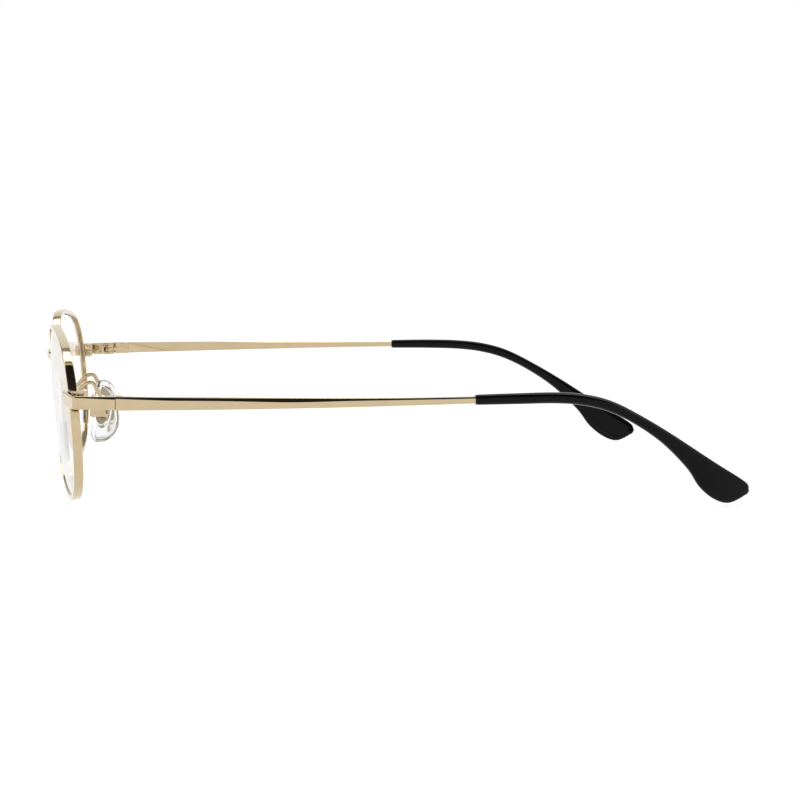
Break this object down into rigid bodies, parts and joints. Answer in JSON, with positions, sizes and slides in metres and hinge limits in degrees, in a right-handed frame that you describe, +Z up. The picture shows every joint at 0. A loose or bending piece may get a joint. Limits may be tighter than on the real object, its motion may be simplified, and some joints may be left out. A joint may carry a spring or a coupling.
{
  "type": "eyeglasses",
  "caption": "Full-rim metal eyeglasses with folding temples, sleeved tips, screw hinges and rocking nose pads on wire arms.",
  "frame": {"origin": "middle of the bounding box's underside, on the surface that the rim bottoms and temple tips stand on", "axes": "+X to the wearer's left, +Y from the lenses towards the ears, +Z up"},
  "size_m": [0.1466, 0.1558, 0.039],
  "materials": {
    "frame_gold": "polished pale gold plating",
    "screw_gold": "satin gold",
    "insert_gold": "satin gold",
    "lens_clear": "polished, clear",
    "pad_clear": "clear soft plastic",
    "tip_black": "polished black"
  },
  "bodies": {
    "front": {"rim_left": "frame_gold", "rim_right": "frame_gold", "lens_left": "lens_clear", "lens_right": "lens_clear", "bridge": "frame_gold", "endpiece_left": "frame_gold", "endpiece_right": "frame_gold", "rim_lock_upper_left": "frame_gold", "rim_lock_upper_right": "frame_gold", "rim_lock_lower_left": "frame_gold", "rim_lock_lower_right": "frame_gold", "rim_lock_screw_left": "screw_gold", "rim_lock_screw_right": "screw_gold", "hinge_front_leaf_left": "frame_gold", "hinge_front_leaf_right": "frame_gold", "hinge_screw_left": "screw_gold", "hinge_screw_right": "screw_gold", "pad_arm_left": "frame_gold", "pad_arm_right": "frame_gold", "pad_box_left": "frame_gold", "pad_box_right": "frame_gold", "pad_screw_left": "screw_gold", "pad_screw_right": "screw_gold"},
    "temple_arm_left": {"hinge_temple_leaf_left": "frame_gold", "temple_left": "frame_gold", "temple_tip_left": "tip_black"},
    "temple_arm_right": {"hinge_temple_leaf_right": "frame_gold", "temple_right": "frame_gold", "temple_tip_right": "tip_black"},
    "pad_left": {"pad_insert_left": "insert_gold", "nose_pad_left": "pad_clear"},
    "pad_right": {"pad_insert_right": "insert_gold", "nose_pad_right": "pad_clear"}
  },
  "joints": [
    {"name": "temple_fold_left", "type": "hinge", "parent": "front", "child": "temple_arm_left", "pos_m": [0.06685, -0.06341, 0.02548], "axis": [0, 0, 1], "range_deg": [0, 87]},
    {"name": "temple_fold_right", "type": "hinge", "parent": "front", "child": "temple_arm_right", "pos_m": [-0.06685, -0.06341, 0.02548], "axis": [0, 0, -1], "range_deg": [0, 83]},
    {"name": "pad_rock_left", "type": "hinge", "parent": "front", "child": "pad_left", "pos_m": [0.00975, -0.06561, 0.01753], "axis": [0.4226, 0.9063, 0], "range_deg": [-12, 12]},
    {"name": "pad_rock_right", "type": "hinge", "parent": "front", "child": "pad_right", "pos_m": [-0.00975, -0.06561, 0.01753], "axis": [0.4226, -0.9063, 0], "range_deg": [-12, 12]}
  ]
}
